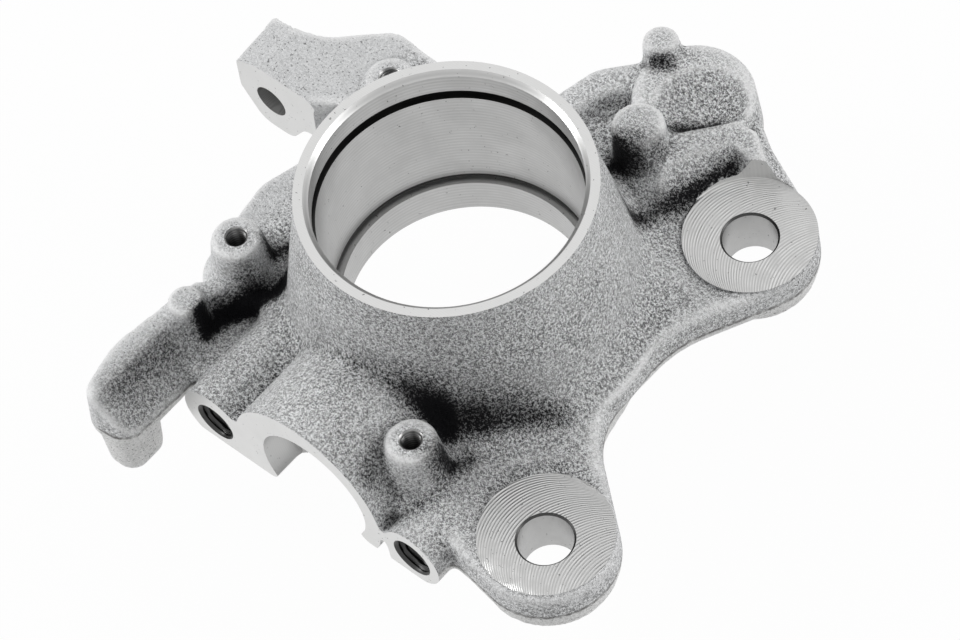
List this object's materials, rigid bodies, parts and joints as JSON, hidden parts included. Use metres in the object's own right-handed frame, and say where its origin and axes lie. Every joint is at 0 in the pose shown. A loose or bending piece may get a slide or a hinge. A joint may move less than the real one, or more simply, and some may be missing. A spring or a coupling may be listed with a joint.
{
  "type": "steering knuckle",
  "caption": "Cast iron front steering knuckle with a pressed bearing bore, caliper ears, ball joint seat, tie rod arm and strut tongue.",
  "frame": {"origin": "centre of the wheel bearing seat", "axes": "+Z along the wheel axis, out to the wheel; +Y along the ball joint bolts, up the car; +X to the brake caliper side"},
  "size_m": [0.1843, 0.1901, 0.091],
  "materials": {
    "cast_iron": "bare sand cast skin, machined seats"
  },
  "bodies": {
    "root": {"steering_knuckle": "cast_iron"}
  },
  "joints": []
}
